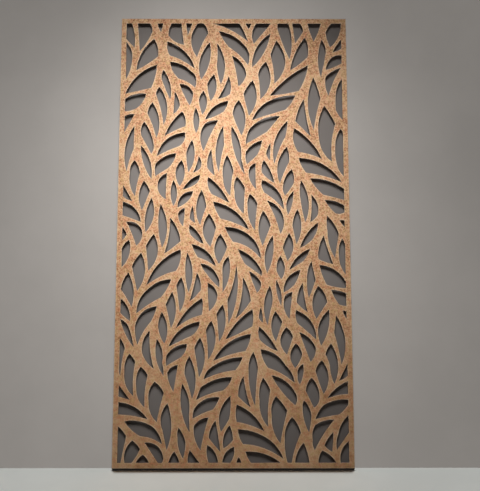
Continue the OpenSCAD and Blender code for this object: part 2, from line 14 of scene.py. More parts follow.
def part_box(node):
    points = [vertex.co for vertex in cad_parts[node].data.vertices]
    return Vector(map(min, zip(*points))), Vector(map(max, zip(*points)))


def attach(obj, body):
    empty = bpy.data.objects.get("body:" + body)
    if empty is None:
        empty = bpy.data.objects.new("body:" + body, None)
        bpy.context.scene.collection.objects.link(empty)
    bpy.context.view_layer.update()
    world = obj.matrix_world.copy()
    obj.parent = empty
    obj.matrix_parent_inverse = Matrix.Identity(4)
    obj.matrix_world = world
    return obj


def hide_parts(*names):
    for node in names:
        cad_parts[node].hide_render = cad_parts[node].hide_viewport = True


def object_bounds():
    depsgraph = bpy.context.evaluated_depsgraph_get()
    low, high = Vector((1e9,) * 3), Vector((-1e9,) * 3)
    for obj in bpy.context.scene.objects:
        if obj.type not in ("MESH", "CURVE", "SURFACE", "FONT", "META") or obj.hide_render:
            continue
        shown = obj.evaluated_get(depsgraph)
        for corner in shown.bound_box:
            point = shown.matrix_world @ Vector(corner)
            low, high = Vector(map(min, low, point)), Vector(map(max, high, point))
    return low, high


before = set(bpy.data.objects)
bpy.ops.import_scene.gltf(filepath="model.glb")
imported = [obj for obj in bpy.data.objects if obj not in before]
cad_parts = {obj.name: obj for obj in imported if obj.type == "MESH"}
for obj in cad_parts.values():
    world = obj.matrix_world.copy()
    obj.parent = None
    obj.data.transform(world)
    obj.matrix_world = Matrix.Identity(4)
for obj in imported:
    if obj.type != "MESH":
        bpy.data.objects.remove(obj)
CAD_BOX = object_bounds()

# Below these distances, in metres, two points are one and a point lies on a plane.
SAME_POINT = 0.00001
ON_PLANE = 0.00005
SAME_PLANE = math.radians(1.0)
QUARTER_TURN = math.radians(90.0)
EASED = "_eased"
RIM = "rim"

Point = tuple[float, float, float]
Colour = tuple[float, float, float, float]
Span = tuple[float, float]
Outline = list[tuple[float, float]]

log = logging.getLogger("metal_screen")


class Slot(Enum):
    """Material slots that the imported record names."""

    RUST_SHEET = "rust_sheet"
    FRAME_STEEL = "frame_steel"
    ZINC_FIXINGS = "zinc_fixings"
    PAD_RUBBER = "pad_rubber"


# ---------------------------------------------------------------- shader expressions


class Signal:
    """A value or colour on its way from one shader node to the next."""

    def __init__(self, sheet: "ShaderSheet", socket: Optional[bpy.types.NodeSocket]) -> None:
        """Keep the sheet and the output socket that carries the signal: None for a closing node."""
        self.sheet = sheet
        self.socket = socket

    def math(self, operation: str, first: "Amount", second: "Amount") -> "Signal":
        """Put two amounts through one Math node, the first above, and return its result."""
        return self.sheet.node("ShaderNodeMath", {"operation": operation}, {0: first, 1: second})

    def __add__(self, other: "Amount") -> "Signal":
        """Return self + other."""
        return self.math("ADD", self, other)

    def __radd__(self, other: "Amount") -> "Signal":
        """Return other + self."""
        return self.math("ADD", other, self)

    def __sub__(self, other: "Amount") -> "Signal":
        """Return self - other."""
        return self.math("SUBTRACT", self, other)

    def __rsub__(self, other: "Amount") -> "Signal":
        """Return other - self."""
        return self.math("SUBTRACT", other, self)

    def __mul__(self, other: "Amount") -> "Signal":
        """Return self * other."""
        return self.math("MULTIPLY", self, other)

    def __rmul__(self, other: "Amount") -> "Signal":
        """Return other * self."""
        return self.math("MULTIPLY", other, self)

    def at_least(self, other: "Amount") -> "Signal":
        """Return the larger of self and other."""
        return self.math("MAXIMUM", self, other)

    def halfway(self, other: "Signal") -> "Signal":
        """Return the average of self and other."""
        return self * 0.5 + other * 0.5

    def between(self, span: Span, results: Span = (0.0, 1.0)) -> "Signal":
        """Stretch a span smoothly onto another.

        Args:
            span: the values that become the first and the last result, as does all beyond them.
            results: the results at the span's two ends.

        Returns:
            The stretched signal.
        """
        return self.sheet.node(
            "ShaderNodeMapRange",
            {"interpolation_type": "SMOOTHSTEP"},
            {
                "Value": self,
                "From Min": span[0],
                "From Max": span[1],
                "To Min": results[0],
                "To Max": results[1],
            },
        )


Amount = Union[Signal, float]
SocketValue = Union[Signal, float, Point, Colour]
SocketValues = dict[Union[str, int], SocketValue]


@dataclass(frozen=True)
class Cloud:
    """Cloudy noise.

    Its size is the width of its largest clouds in metres, layers says how many finer layers it has, and
    strength says how strong they are. Stretch is the factor of each axis. Shift moves it in metres, so
    that it differs from its neighbours.
    """

    size: float
    layers: float = 4.0
    strength: float = 0.55
    stretch: Optional[Point] = None
    shift: Optional[Point] = None


@dataclass(frozen=True)
class Relief:
    """How far a bump's height of 1 stands out, in metres, and the share of it that is used."""

    distance: float
    strength: float


class ShaderSheet:
    """One material's or world's sheet of nodes, which writes them from Python expressions."""

    def __init__(self, name: str, world: bool = False) -> None:
        """Start an empty sheet.

        Args:
            name: the material's or world's name.
            world: whether it is a world.
        """
        self.owner = bpy.data.worlds.new(name) if world else bpy.data.materials.new(name)
        self.owner.use_nodes = True
        self.tree = self.owner.node_tree
        self.tree.nodes.clear()

    def node(
        self,
        kind: str,
        settings: Optional[dict[str, object]] = None,
        values: Optional[SocketValues] = None,
        output: Union[str, int] = 0,
    ) -> Signal:
        """Add one node, its settings first and then its sockets.

        Args:
            kind: the node's type.
            settings: the node's own settings, and "stops" for a ramp's stops.
            values: a value or a signal for each socket by name or place.
            output: the output that is wanted.

        Returns:
            The signal of the wanted output.
        """
        made = self.tree.nodes.new(kind)
        for key, value in (settings or {}).items():
            if key == "stops":
                self._set_stops(made.color_ramp, value)
            else:
                setattr(made, key, value)
        for key, value in (values or {}).items():
            if isinstance(value, Signal):
                self.tree.links.new(value.socket, made.inputs[key])
            else:
                made.inputs[key].default_value = value
        return Signal(self, made.outputs[output] if made.outputs else None)

    @staticmethod
    def _set_stops(ramp: bpy.types.ColorRamp, stops: list[tuple[float, Colour]]) -> None:
        """Give a colour ramp its stops.

        Args:
            ramp: the ramp.
            stops: each stop's place and colour, in order.
        """
        while len(ramp.elements) < len(stops):
            ramp.elements.new(1.0)
        for element, (place, colour) in zip(ramp.elements, stops):
            element.position = place
            element.color = colour

    def place(self) -> Signal:
        """Return the point on the object, in metres."""
        return self.node("ShaderNodeTexCoord", output="Object")

    def cloud(self, cloud: Cloud) -> Signal:
        """Return a cloudy noise from 0 to 1.

        Args:
            cloud: the noise's facts.

        Returns:
            The noise value.
        """
        point = self.place()
        for socket, value in (("Scale", cloud.stretch), ("Location", cloud.shift)):
            if value:
                values = {"Vector": point, socket: value}
                point = self.node("ShaderNodeMapping", {"vector_type": "POINT"}, values)
        return self.node(
            "ShaderNodeTexNoise",
            {"noise_dimensions": "3D"},
            {"Vector": point, "Scale": 1.0 / cloud.size, "Detail": cloud.layers, "Roughness": cloud.strength},
        )

    def blend(self, under: SocketValue, over: SocketValue, factor: Amount) -> Signal:
        """Return the colour under at factor 0, the colour over at factor 1, and a mix between them."""
        return self.node("ShaderNodeMix", {"data_type": "RGBA"}, {0: factor, 6: under, 7: over}, output=2)

    def bump(self, height: Signal, relief: Relief, below: Optional[Signal] = None) -> Signal:
        """Return a normal bent by a height.

        Args:
            height: the height from 0 to 1.
            relief: how the height is used.
            below: another bump's normal to build on.

        Returns:
            The bent normal.
        """
        values: SocketValues = {"Height": height, "Distance": relief.distance, "Strength": relief.strength}
        if below:
            values["Normal"] = below
        return self.node("ShaderNodeBump", values=values)

    def surface(self, colour: Signal, rough: Signal, metallic: Amount, normal: Signal) -> bpy.types.Material:
        """Close the sheet with a Principled shader.

        Args:
            colour: the base colour.
            rough: the roughness.
            metallic: the share of bare metal.
            normal: the normal.

        Returns:
            The finished material.
        """
        shader = self.node(
            "ShaderNodeBsdfPrincipled",
            values={"Base Color": colour, "Roughness": rough, "Metallic": metallic, "Normal": normal},
        )
        self.node("ShaderNodeOutputMaterial", values={"Surface": shader})
        return self.owner


def shade(red: float, green: float, blue: float) -> Colour:
    """Turn a colour as seen on screen, 0 to 255, into the shader's numbers.

    Args:
        red: the red part.
        green: the green part.
        blue: the blue part.

    Returns:
        The colour in linear light, opaque.
    """

    def linear(part: float) -> float:
        """Return one part in linear light, by the sRGB curve."""
        share = part / 255.0
        return share / 12.92 if share <= 0.04045 else ((share + 0.055) / 1.055) ** 2.4

    return (linear(red), linear(green), linear(blue), 1.0)


# ---------------------------------------------------------------- finishes


@dataclass(frozen=True)
class RustPatina:
    """Sealed rust on the sheet's front: orange and ochre clouds and brown specks.

    Along every cut edge runs a pale rim, partly rubbed wear and partly a painted highlight, and right
    at the edge a dark line, partly heat tint and partly painted contour shade. The grain is smooth at the
    lower of the grain heights and coarse at the upper one.
    """

    deep: Colour = shade(146, 96, 64)
    brown: Colour = shade(184, 133, 93)
    tan: Colour = shade(208, 161, 121)
    cream: Colour = shade(226, 188, 148)
    stops: tuple[float, ...] = (0.39, 0.45, 0.50, 0.57)
    patches: Cloud = Cloud(0.24, 3.0)
    mottle: Cloud = Cloud(0.030, 5.0, 0.6)
    grain: Cloud = Cloud(0.0085, 2.0, 0.75)
    grit: Cloud = Cloud(0.0018, 2.0, 0.6)
    runs: Cloud = Cloud(0.03, 4.0, 0.6, stretch=(1.0, 1.0, 0.09))
    patch_share: float = 0.18
    mottle_share: float = 0.18
    run_share: float = 0.06
    grain_share: float = 0.58
    grain_middle: float = 0.5
    grain_heights: Span = (0.15, 1.35)
    coarseness: Span = (0.30, 1.05)
    salmon: Colour = shade(216, 138, 92)
    straw: Colour = shade(210, 172, 108)
    hues: Cloud = Cloud(0.014, 3.0, 0.75, shift=(3.1, 1.7, 5.3))
    salmon_hues: Span = (0.50, 0.36)
    straw_hues: Span = (0.50, 0.64)
    hue_shares: Span = (0.0, 0.55)
    speck: Colour = shade(118, 70, 42)
    speck_grain: Span = (0.42, 0.30)
    speck_mottle: Span = (0.56, 0.42)
    speck_share: float = 0.3
    # pale: the rim's colour along the cut edges, partly rubbed wear and partly a painted highlight
    pale: Colour = shade(246, 222, 190)
    wear_and_highlight_mottle: Span = (0.34, 0.60)
    wear_and_highlight_shares: Span = (0.45, 1.0)
    wear_and_highlight_share: float = 0.85
    # heat: a dark line right at the cut edges, partly heat tint and partly painted contour shade
    heat: Colour = shade(62, 38, 26)
    heat_tint_and_shade_rim: Span = (0.78, 0.93)
    heat_tint_and_shade_share: float = 0.85
    rough: float = 0.50
    mottle_rough: float = 0.22
    grit_rough: float = 0.14
    worn_smooth: float = 0.10
    metallic: float = 0.12
    fine_relief: Relief = Relief(0.0005, 0.5)
    relief: Relief = Relief(0.0012, 0.45)

    def material(self) -> bpy.types.Material:
        """Return the patina's material."""
        sheet = ShaderSheet("rust_patina")
        patches = sheet.cloud(self.patches)
        mottle = sheet.cloud(self.mottle)
        grain = sheet.cloud(self.grain)
        grit = sheet.cloud(self.grit)
        runs = sheet.cloud(self.runs)
        height = sheet.node("ShaderNodeSeparateXYZ", values={"Vector": sheet.place()}, output="Z")
        coarse = height.between(self.grain_heights, self.coarseness)
        tone = patches * self.patch_share + mottle * self.mottle_share + runs * self.run_share
        tone = tone + ((grain - self.grain_middle) * coarse + self.grain_middle) * self.grain_share
        colours = (self.deep, self.brown, self.tan, self.cream)
        stops = list(zip(self.stops, colours))
        colour = sheet.node("ShaderNodeValToRGB", {"stops": stops}, {"Fac": tone})
        hue = sheet.cloud(self.hues)
        colour = sheet.blend(colour, self.salmon, hue.between(self.salmon_hues, self.hue_shares))
        colour = sheet.blend(colour, self.straw, hue.between(self.straw_hues, self.hue_shares))
        specks = grain.between(self.speck_grain) * mottle.between(self.speck_mottle)
        colour = sheet.blend(colour, self.speck, specks * coarse * self.speck_share)
        rim = sheet.node("ShaderNodeAttribute", {"attribute_name": RIM}, output="Fac")
        # a pale band along the cut edges: partly rubbed wear, partly a painted highlight
        wear_and_highlight = rim * mottle.between(self.wear_and_highlight_mottle, self.wear_and_highlight_shares)
        colour = sheet.blend(colour, self.pale, wear_and_highlight * self.wear_and_highlight_share)
        # a dark line right at the cut edges: partly heat tint, partly painted contour shade
        colour = sheet.blend(colour, self.heat, rim.between(self.heat_tint_and_shade_rim) * self.heat_tint_and_shade_share)
        rough = self.rough + mottle * self.mottle_rough + grit * self.grit_rough - wear_and_highlight * self.worn_smooth
        fine = sheet.bump(grit, self.fine_relief)
        normal = sheet.bump(mottle.halfway(grain), self.relief, fine)
        return sheet.surface(colour, rough, self.metallic, normal)


@dataclass(frozen=True)
class CutEdge:
    """The narrow walls that the laser left: dark oxide with fine lines from front to back."""

    scale: Colour = shade(52, 32, 22)
    rust: Colour = shade(104, 62, 38)
    lines: Cloud = Cloud(0.0012, 3.0, 0.6, stretch=(1.0, 0.05, 1.0))
    bloom: Cloud = Cloud(0.022, 5.0, 0.6)
    rusty: Span = (0.42, 0.66)
    rust_share: float = 0.55
    line_share: float = 0.45
    rough: float = 0.55
    bloom_rough: float = 0.3
    metallic: float = 0.2
    relief: Relief = Relief(0.0003, 0.5)

    def material(self) -> bpy.types.Material:
        """Return the cut edge's material."""
        sheet = ShaderSheet("laser_cut_edge")
        lines = sheet.cloud(self.lines)
        bloom = sheet.cloud(self.bloom)
        rusty = bloom.between(self.rusty) * (self.rust_share + lines * self.line_share)
        colour = sheet.blend(self.scale, self.rust, rusty)
        rough = self.rough + bloom * self.bloom_rough
        return sheet.surface(colour, rough, self.metallic, sheet.bump(lines, self.relief))


@dataclass(frozen=True)
class BareBack:
    """The sheet's back, left unsealed: dark mill scale with rust bloom and dusty runs."""

    scale: Colour = shade(44, 33, 27)
    rust: Colour = shade(112, 68, 43)
    dust: Colour = shade(98, 86, 76)
    patches: Cloud = Cloud(0.17, 5.0, 0.6)
    bloom: Cloud = Cloud(0.016, 5.0, 0.65)
    runs: Cloud = Cloud(0.02, 4.0, 0.6, stretch=(1.0, 1.0, 0.08))
    grit: Cloud = Cloud(0.0016, 2.0, 0.6)
    rusty: Span = (0.45, 0.60)
    rust_share: float = 0.75
    dusty: Span = (0.55, 0.72)
    dust_share: float = 0.4
    rough: float = 0.52
    rust_rough: float = 0.26
    grit_rough: float = 0.10
    metallic: float = 0.15
    fine_relief: Relief = Relief(0.0004, 0.4)
    relief: Relief = Relief(0.0010, 0.4)

    def material(self) -> bpy.types.Material:
        """Return the back's material."""
        sheet = ShaderSheet("bare_back")
        patches = sheet.cloud(self.patches)
        bloom = sheet.cloud(self.bloom)
        runs = sheet.cloud(self.runs)
        grit = sheet.cloud(self.grit)
        rusty = patches.halfway(bloom).between(self.rusty)
        colour = sheet.blend(self.scale, self.rust, rusty * self.rust_share)
        colour = sheet.blend(colour, self.dust, runs.between(self.dusty) * self.dust_share)
        rough = self.rough + rusty * self.rust_rough + grit * self.grit_rough
        fine = sheet.bump(grit, self.fine_relief)
        return sheet.surface(colour, rough, self.metallic, sheet.bump(bloom, self.relief, fine))


@dataclass(frozen=True)
class FramePaint:
    """Matt dark brown paint on the angle steel, chipped here and there."""

    paint: Colour = shade(38, 24, 17)
    faded: Colour = shade(55, 36, 27)
    rust: Colour = shade(120, 70, 42)
    haze: Cloud = Cloud(0.12, 4.0)
    peel: Cloud = Cloud(0.0035, 2.0, 0.5)
    chips: Cloud = Cloud(0.016, 6.0, 0.68)
    runs: Cloud = Cloud(0.012, 3.0, 0.5, stretch=(1.0, 1.0, 0.1))
    hazy: Span = (0.35, 0.70)
    haze_share: float = 0.7
    run_span: Span = (0.5, 0.7)
    run_share: float = 0.3
    chipped: Span = (0.68, 0.73)
    rust_share: float = 0.8
    rough: float = 0.46
    haze_rough: float = 0.16
    chip_rough: float = 0.3
    chip_depth: float = 0.6
    metallic: float = 0.0
    relief: Relief = Relief(0.0004, 0.4)

    def material(self) -> bpy.types.Material:
        """Return the paint's material."""
        sheet = ShaderSheet("frame_paint")
        haze = sheet.cloud(self.haze)
        peel = sheet.cloud(self.peel)
        chips = sheet.cloud(self.chips)
        runs = sheet.cloud(self.runs)
        faded = haze.between(self.hazy) * self.haze_share + runs.between(self.run_span) * self.run_share
        colour = sheet.blend(self.paint, self.faded, faded)
        chip = chips.between(self.chipped)
        colour = sheet.blend(colour, self.rust, chip * self.rust_share)
        rough = self.rough + haze * self.haze_rough + chip * self.chip_rough
        normal = sheet.bump(peel - chip * self.chip_depth, self.relief)
        return sheet.surface(colour, rough, self.metallic, normal)


@dataclass(frozen=True)
class RubbedEdge:
    """The frame's arrises, where the paint is thin and steel and rust look through."""

    paint: Colour = shade(50, 33, 24)
    steel: Colour = shade(136, 124, 114)
    rust: Colour = shade(126, 74, 44)
    wear: Cloud = Cloud(0.030, 5.0, 0.65)
    fine: Cloud = Cloud(0.003, 3.0, 0.6)
    wear_share: float = 0.7
    fine_share: float = 0.3
    rubbed: Span = (0.46, 0.60)
    steely: Span = (0.42, 0.58)
    bare_share: float = 0.75
    rough: float = 0.56
    bare_smooth: float = 0.14
    fine_rough: float = 0.1
    bare_metal: float = 0.5
    bare_depth: float = 0.5
    relief: Relief = Relief(0.0002, 0.4)

    def material(self) -> bpy.types.Material:
        """Return the arrises' material."""
        sheet = ShaderSheet("rubbed_edge")
        wear = sheet.cloud(self.wear)
        fine = sheet.cloud(self.fine)
        bare = (wear * self.wear_share + fine * self.fine_share).between(self.rubbed)
        under = sheet.blend(self.rust, self.steel, fine.between(self.steely))
        colour = sheet.blend(self.paint, under, bare * self.bare_share)
        rough = self.rough - bare * self.bare_smooth + fine * self.fine_rough
        normal = sheet.bump(fine - bare * self.bare_depth, self.relief)
        return sheet.surface(colour, rough, bare * self.bare_metal, normal)


@dataclass(frozen=True)
class WeldBead:
    """Weld metal in the frame's corners: dark, rippled, with a heat tint."""

    metal: Colour = shade(74, 62, 56)
    tint: Colour = shade(92, 66, 50)
    spatter: Cloud = Cloud(0.0016, 4.0, 0.65)
    heat: Cloud = Cloud(0.010, 3.0)
    tinted: Span = (0.4, 0.6)
    rough: float = 0.44
    spatter_rough: float = 0.3
    metallic: float = 0.55
    relief: Relief = Relief(0.0003, 0.6)

    def material(self) -> bpy.types.Material:
        """Return the weld metal's material."""
        sheet = ShaderSheet("weld_bead")
        spatter = sheet.cloud(self.spatter)
        heat = sheet.cloud(self.heat)
        colour = sheet.blend(self.metal, self.tint, heat.between(self.tinted))
        rough = self.rough + spatter * self.spatter_rough
        return sheet.surface(colour, rough, self.metallic, sheet.bump(spatter, self.relief))


@dataclass(frozen=True)
class BloomedFinish:
    """A plain finish with a patchy bloom over it and a fine skin."""

    name: str
    plain: Colour
    bloom: Colour
    patches: Cloud
    bloomed: Span
    rough: float
    bloom_rough: float
    metallic: float
    skin: Cloud
    relief: Relief
    bloom_share: float = 1.0

    def material(self) -> bpy.types.Material:
        """Return the finish's material."""
        sheet = ShaderSheet(self.name)
        patches = sheet.cloud(self.patches)
        skin = sheet.cloud(self.skin)
        bloomed = patches.between(self.bloomed, (0.0, self.bloom_share))
        colour = sheet.blend(self.plain, self.bloom, bloomed)
        rough = self.rough + patches * self.bloom_rough
        return sheet.surface(colour, rough, self.metallic, sheet.bump(skin, self.relief))


@dataclass(frozen=True)
class NylonRing(BloomedFinish):
    """The lock nuts' nylon inserts: milky, a little yellowed."""

    name: str = "nylon_ring"
    plain: Colour = shade(206, 206, 198)
    bloom: Colour = shade(190, 180, 156)
    patches: Cloud = Cloud(0.006, 4.0)
    bloomed: Span = (0.4, 0.62)
    rough: float = 0.38
    bloom_rough: float = 0.16
    metallic: float = 0.0
    skin: Cloud = Cloud(0.0005, 2.0)
    relief: Relief = Relief(0.00008, 0.4)


@dataclass(frozen=True)
class ZincPlate(BloomedFinish):
    """Bright zinc on studs, washers, nuts and screws, with dull bloom."""

    name: str = "zinc_plate"
    plain: Colour = shade(205, 207, 210)
    bloom: Colour = shade(150, 152, 156)
    patches: Cloud = Cloud(0.005, 5.0, 0.6)
    bloomed: Span = (0.38, 0.66)
    rough: float = 0.26
    bloom_rough: float = 0.24
    metallic: float = 0.9
    skin: Cloud = Cloud(0.0006, 2.0, 0.5)
    relief: Relief = Relief(0.0001, 0.35)


@dataclass(frozen=True)
class PadRubber(BloomedFinish):
    """Moulded black rubber with a dusty bloom."""

    name: str = "pad_rubber"
    plain: Colour = shade(24, 21, 19)
    bloom: Colour = shade(58, 53, 49)
    patches: Cloud = Cloud(0.018, 5.0, 0.6)
    bloomed: Span = (0.45, 0.75)
    rough: float = 0.66
    bloom_rough: float = 0.22
    metallic: float = 0.0
    skin: Cloud = Cloud(0.0009, 2.0, 0.5)
    relief: Relief = Relief(0.0002, 0.5)
    bloom_share: float = 0.6


# ---------------------------------------------------------------- modelling helpers


def linked(name: str, data: bpy.types.ID) -> bpy.types.Object:
    """Put a new object into the scene.

    Args:
        name: its name.
        data: its mesh, lamp or camera.

    Returns:
        The object.
    """
    thing = bpy.data.objects.new(name, data)
    bpy.context.scene.collection.objects.link(thing)
    return thing


def only(thing: bpy.types.Object) -> None:
    """Select one object alone and make it active.

    Args:
        thing: the object.
    """
    bpy.ops.object.select_all(action="DESELECT")
    thing.select_set(True)
    bpy.context.view_layer.objects.active = thing


@contextmanager
def editing(elements: Optional[str] = None) -> Iterator[None]:
    """Work on the active object in edit mode.

    Args:
        elements: FACE or VERT to work on what is selected, or None to select everything.
    """
    bpy.ops.object.mode_set(mode="EDIT")
    if elements:
        bpy.ops.mesh.select_mode(type=elements)
    else:
        bpy.ops.mesh.select_all(action="SELECT")
    yield
    bpy.ops.object.mode_set(mode="OBJECT")


def settle() -> None:
    """Apply the selected objects' place, turn and size to their meshes."""
    bpy.ops.object.transform_apply(location=True, rotation=True, scale=True)


def smooth(thing: bpy.types.Object, degrees: float) -> None:
    """Shade an object smooth, apart from its edges that turn by more degrees than these."""
    only(thing)
    bpy.ops.object.shade_smooth_by_angle(angle=math.radians(degrees))


def pick_faces(thing: bpy.types.Object, chosen: set[int]) -> None:
    """Select faces, and nothing else.

    Args:
        thing: the object, in object mode.
        chosen: the numbers of the faces.
    """
    mesh = thing.data
    for elements in (mesh.vertices, mesh.edges, mesh.polygons):
        elements.foreach_set("select", [False] * len(elements))
    for number in chosen:
        mesh.polygons[number].select = True


def dress(thing: bpy.types.Object, materials: Iterable[bpy.types.Material]) -> None:
    """Give a piece its materials in order.

    Args:
        thing: the piece.
        materials: one for each material place.
    """
    thing.data.materials.clear()
    for material in materials:
        thing.data.materials.append(material)


def adopt(piece: bpy.types.Object, nodes: list[str]) -> None:
    """Let a new piece ride on the frame in place of CAD nodes.

    Args:
        piece: the new piece.
        nodes: the CAD nodes that it stands for, if any.
    """
    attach(piece, "root")
    if nodes:
        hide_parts(*nodes)
    replaced = ", ".join(nodes) or "nothing"
    log.info("%s: %d faces in place of %s", piece.name, len(piece.data.polygons), replaced)


def merged_copy(node: str, name: str, whole_faces: bool = True) -> bpy.types.Object:
    """Return a copy of a CAD node's mesh with its loose triangles merged.

    Args:
        node: the CAD node.
        name: the copy's name.
        whole_faces: whether triangles that lie in one plane become one face.

    Returns:
        The copy.
    """
    piece = linked(name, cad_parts[node].data.copy())
    only(piece)
    with editing():
        bpy.ops.mesh.remove_doubles(threshold=SAME_POINT)
        if whole_faces:
            bpy.ops.mesh.dissolve_limited(angle_limit=SAME_PLANE)
    piece.data.shade_flat()
    return piece


@dataclass(frozen=True)
class Easing:
    """How a piece's edges are rounded: how far back, in how many faces, and from which angles on."""

    width: float
    rounds: int = 2
    sharp_degrees: float = 40.0
    smooth_degrees: float = 32.0

    def copy(self, node: str, face: bpy.types.Material, edge: bpy.types.Material) -> bpy.types.Object:
        """Return a copy of a CAD node whose sharp edges are rounded.

        Args:
            node: the CAD node.
            face: the finish of the faces.
            edge: the finish of the rounded edges.

        Returns:
            The dressed copy.
        """
        piece = merged_copy(node, node + EASED)
        dress(piece, [face, edge])
        easing = piece.modifiers.new("easing", "BEVEL")
        easing.width = self.width
        easing.segments = self.rounds
        easing.limit_method = "ANGLE"
        easing.angle_limit = math.radians(self.sharp_degrees)
        easing.material = 1
        only(piece)
        bpy.ops.object.modifier_apply(modifier="easing")
        smooth(piece, self.smooth_degrees)
        return piece


def turned(name: str, outline: Outline, sides: int) -> bpy.types.Object:
    """Turn a closed solid about the Z axis.

    Args:
        name: its name.
        outline: the radius and height of each ring, from the lower end to the upper.
        sides: how many sides a ring has.

    Returns:
        The solid.
    """
    radius, height = outline[0]
    bpy.ops.object.select_all(action="DESELECT")
    middle = (0.0, 0.0, height)
    bpy.ops.mesh.primitive_circle_add(vertices=sides, radius=radius, fill_type="NGON", location=middle)
    piece = bpy.context.object
    piece.name = name
    settle()
    with editing():
        for next_radius, next_height in outline[1:]:
            rise = (0.0, 0.0, next_height - height)
            bpy.ops.mesh.extrude_region_move(TRANSFORM_OT_translate={"value": rise})
            scale = next_radius / radius
            bpy.ops.transform.resize(value=(scale, scale, 1.0))
            radius, height = next_radius, next_height
        bpy.ops.mesh.select_all(action="SELECT")
        bpy.ops.mesh.normals_make_consistent(inside=False)
    return piece


def ripples(start: float, pitch: float, count: int, radii: Span, steps: Span = (0.45, 0.95)) -> Outline:
    """Return the rings of a rippled rod: two to a ripple, of two radii in turn.

    Args:
        start: the height where the ripples start.
        pitch: the height of one ripple.
        count: how many ripples there are.
        radii: the radius of a ripple's lower and upper ring.
        steps: the share of the pitch at which each of the two stands.

    Returns:
        The radius and height of each ring.
    """
    return [
        (radius, start + (number + step) * pitch)
        for number in range(count)
        for radius, step in zip(radii, steps)
    ]


def joined(parts: list[bpy.types.Object], name: str) -> bpy.types.Object:
    """Join pieces into the first of them.

    Args:
        parts: the pieces.
        name: the joined piece's name.

    Returns:
        The joined piece.
    """
    only(parts[0])
    for part in parts[1:]:
        part.select_set(True)
    if len(parts) > 1:
        bpy.ops.object.join()
    parts[0].name = name
    return parts[0]


def copied_to(model: bpy.types.Object, places: list[Matrix], name: str) -> bpy.types.Object:
    """Copy a model to many places, join the copies and take the model away.

    Args:
        model: the model, at the origin and along Z.
        places: where each copy goes.
        name: the joined copies' name.

    Returns:
        The joined copies.
    """
    copies = []
    for place in places:
        copy = linked(name, model.data.copy())
        copy.matrix_world = place
        only(copy)
        settle()
        copies.append(copy)
    bpy.data.objects.remove(model)
    return joined(copies, name)


@dataclass(frozen=True)
class Seat:
    """Where one solid of a CAD node sits: its lowest and highest corners."""

    low: Vector
    high: Vector

    def along(self, axis: str, turn: float = 0.0) -> Matrix:
        """Return the place for a model that starts at the seat's low end.

        Args:
            axis: "Y" or "Z", the way the model points.
            turn: its turn about its own axis in radians.

        Returns:
            The place.
        """
        middle = (self.low + self.high) / 2.0
        if axis == "Y":
            start = Vector((middle.x, self.low.y, middle.z))
            laid_over = Euler((-QUARTER_TURN, 0.0, 0.0)).to_matrix().to_4x4()
        else:
            start = Vector((middle.x, middle.y, self.low.z))
            laid_over = Matrix.Identity(4)
        return Matrix.Translation(start) @ laid_over @ Matrix.Rotation(turn, 4, "Z")


def seats(node: str) -> list[Seat]:
    """Return the seat of every separate solid in a CAD node, from the bottom up.

    Args:
        node: the CAD node.

    Returns:
        The seats.
    """
    merged_copy(node, "seat_probe")
    with editing():
        bpy.ops.mesh.separate(type="LOOSE")
    found = []
    for part in list(bpy.context.selected_objects):
        points = [vertex.co.copy() for vertex in part.data.vertices]
        low = Vector([min(point[axis] for point in points) for axis in range(3)])
        high = Vector([max(point[axis] for point in points) for axis in range(3)])
        found.append(Seat(low, high))
        bpy.data.objects.remove(part)
    return sorted(found, key=lambda seat: (round(seat.low.z, 4), round(seat.low.x, 4)))


# ---------------------------------------------------------------- the screen


class Side(IntEnum):
    """The places of the sheet's finishes."""

    FRONT = 0
    CUT = 1
    BACK = 2


